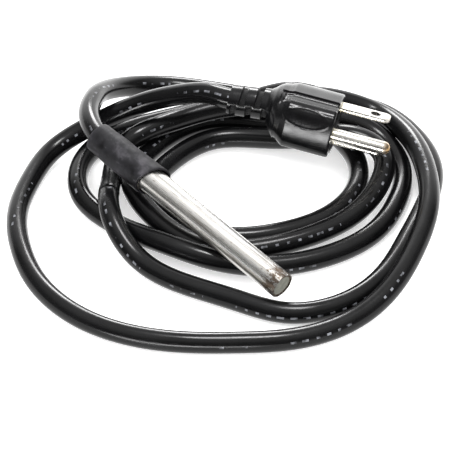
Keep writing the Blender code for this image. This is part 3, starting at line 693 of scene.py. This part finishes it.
def paint_nodes():
    ceramic = inner_look("ceramic", (0.70, 0.67, 0.60), (0.88, 0.86, 0.80), 0.6)
    wire = inner_look("nickel_wire", (0.38, 0.36, 0.33), (0.62, 0.60, 0.56), 0.35, 1.0)
    tin = inner_look("tin_plate", (0.45, 0.45, 0.44), (0.68, 0.68, 0.67), 0.35, 1.0)
    looks = {
        "tip_insulator": ceramic, "cold_end_bushing": ceramic,
        **{f"ceramic_core_{number}": ceramic for number in (1, 2, 3, 4)},
        "magnesia_fill": inner_look("magnesia", (0.74, 0.72, 0.68), (0.92, 0.90, 0.87), 0.85),
        "heating_coil": wire, "terminal_pin_live": wire, "terminal_pin_neutral": wire,
        "fuse_link": wire, "crimp_live": tin, "crimp_neutral": tin, "earth_tag": tin,
        "thermal_fuse": inner_look("bare_brass", (0.50, 0.36, 0.15), (0.76, 0.60, 0.32), 0.35, 1.0),
        "potting_seal": inner_look("potting", (0.09, 0.085, 0.08), (0.18, 0.17, 0.16), 0.5),
        "boot_liner": inner_look("sealant", (0.05, 0.045, 0.04), (0.12, 0.11, 0.10), 0.5),
        "plug_insert": face_look(),
    }
    for name, core, dark, light in (
            ("core_black", "live", (0.008, 0.008, 0.008), (0.022, 0.022, 0.022)),
            ("core_white", "neutral", (0.62, 0.62, 0.58), (0.80, 0.80, 0.77)),
            ("core_green", "earth", (0.02, 0.17, 0.04), (0.06, 0.30, 0.09))):
        shared = inner_look(name, dark, light, 0.4)
        looks["wire_" + core] = looks["plug_wire_" + core] = shared
    for name, finish in looks.items():
        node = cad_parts[name]
        if not node.material_slots:
            node.data.materials.append(finish)
        for material_slot in node.material_slots:
            material_slot.material = finish


# Floor, light and camera

AMBIENT = 2.3
FLOOR_GLOW = 0.45
FRONT = 0.13
CEILING = 0.6
BELOW = 0.9
SWEEP, SWEEP_FROM, SWEEP_TO = 1.5, 0.55, 0.92
BAND, BAND_LIFT = 16.0, -0.08
BEHIND = Vector((-0.698, 0.716, 0))
AHEAD = Vector((0.40, -0.917, 0))
FLOOR_HALF = 3.0
LAMPS = [  # name, place, size, watts
    ("back_softbox", (-0.75, 0.80, 0.55), 0.30, 5.0),
    ("top_softbox", (0.0, 0.05, 1.1), 0.26, 4.5),
]
LAMP_TARGET = Vector((-0.05, 0.02, 0))
CAMERA_TURN, CAMERA_LIFT = math.radians(44.3), math.radians(40.0)
CAMERA_BACK, CAMERA_RIGHT, CAMERA_UP = 1.300, -0.01945, 0.02079
CAMERA_LENS = 303.7  # millimetres, on a 36 mm sensor


def paint_world(tree):
    """Even light for what is matt. What is glossy mirrors a bright sweep behind, a dim ceiling and
    a dark front."""
    def add(kind, inputs, output=0, **settings):
        node = tree.nodes.new("ShaderNode" + kind)
        for key, value in settings.items():
            setattr(node, key, value)
        for key, value in inputs.items():
            if isinstance(value, bpy.types.NodeSocket):
                tree.links.new(value, node.inputs[key])
            else:
                node.inputs[key].default_value = value
        return node.outputs[output]

    def ramp(value, low, high, top):
        return add("MapRange", {"Value": value, "From Min": low, "From Max": high, "To Max": top},
                   interpolation_type="SMOOTHSTEP")

    heading = tree.nodes.new("ShaderNodeTexCoord").outputs["Generated"]
    behind = add("VectorMath", {0: heading, 1: BEHIND}, "Value", operation="DOT_PRODUCT")
    lift = add("SeparateXYZ", {"Vector": heading}, "Z")
    sweep = ramp(behind, SWEEP_FROM, SWEEP_TO, SWEEP)
    ceiling = ramp(lift, 0.45, 0.95, CEILING)
    below = ramp(add("Math", {0: lift, 1: -1.0}, operation="MULTIPLY"), -0.02, 0.04, BELOW)
    # A low bright band in front, which the plug's broad face mirrors
    ahead = add("VectorMath", {0: heading, 1: AHEAD}, "Value", operation="DOT_PRODUCT")
    off_band = add("Math", {0: add("Math", {0: lift, 1: BAND_LIFT}, operation="SUBTRACT")},
                   operation="ABSOLUTE")
    band = add("Math", {0: ramp(ahead, 0.86, 0.97, BAND),
                        1: ramp(add("Math", {0: off_band, 1: -1.0}, operation="MULTIPLY"),
                                -0.08, -0.03, 1.0)}, operation="MULTIPLY")
    above = add("Math", {0: add("Math", {0: sweep, 1: ceiling}, operation="ADD"), 1: band},
                operation="ADD")
    glossy = add("Math", {0: add("Math", {0: above, 1: below}, operation="ADD"), 1: FRONT},
                 operation="ADD")
    mirrored = tree.nodes.new("ShaderNodeLightPath").outputs["Is Glossy Ray"]
    strength = add("Mix", {0: mirrored, 2: AMBIENT, 3: glossy}, data_type="FLOAT")
    tree.links.new(strength, tree.nodes["Background"].inputs["Strength"])
    tree.nodes["Background"].inputs["Color"].default_value = (1, 1, 1, 1)


def studio():
    mesh = bpy.data.meshes.new("floor")
    corners = ((-1, -1), (1, -1), (1, 1), (-1, 1))
    mesh.from_pydata([(x * FLOOR_HALF, y * FLOOR_HALF, TABLE) for x, y in corners], [],
                     [(0, 1, 2, 3)])
    mesh.materials.append(floor_look())
    floor = bpy.data.objects.new("floor", mesh)
    bpy.context.scene.collection.objects.link(floor)
    floor.visible_glossy = False

    world = bpy.data.worlds.new("studio")
    bpy.context.scene.world = world
    world.use_nodes = True
    paint_world(world.node_tree)

    for name, place, size, watts in LAMPS:
        light = bpy.data.lights.new(name, "AREA")
        light.size = size
        light.energy = watts
        lamp = bpy.data.objects.new(name, light)
        bpy.context.scene.collection.objects.link(lamp)
        lamp.location = place
        aim = LAMP_TARGET - lamp.location
        lamp.rotation_euler = aim.to_track_quat("-Z", "Y").to_euler()


def camera():
    back = Vector((math.sin(CAMERA_TURN) * math.cos(CAMERA_LIFT),
                   -math.cos(CAMERA_TURN) * math.cos(CAMERA_LIFT), math.sin(CAMERA_LIFT)))
    right = Vector((math.cos(CAMERA_TURN), math.sin(CAMERA_TURN), 0))
    up = back.cross(right)
    data = bpy.data.cameras.new("camera")
    data.sensor_width = 36.0
    data.lens = CAMERA_LENS
    data.clip_start, data.clip_end = 0.05, 20.0
    made = bpy.data.objects.new("camera", data)
    bpy.context.scene.collection.objects.link(made)
    made.location = back * CAMERA_BACK + right * CAMERA_RIGHT + up * CAMERA_UP
    made.rotation_mode = "QUATERNION"
    made.rotation_quaternion = Matrix((right, up, back)).transposed().to_quaternion()
    bpy.context.scene.camera = made


def build():
    heater()
    cord, path = lead()
    on_cord = plug()
    paint_nodes()
    studio()
    camera()
    bpy.context.scene.view_settings.view_transform = "Standard"


build()
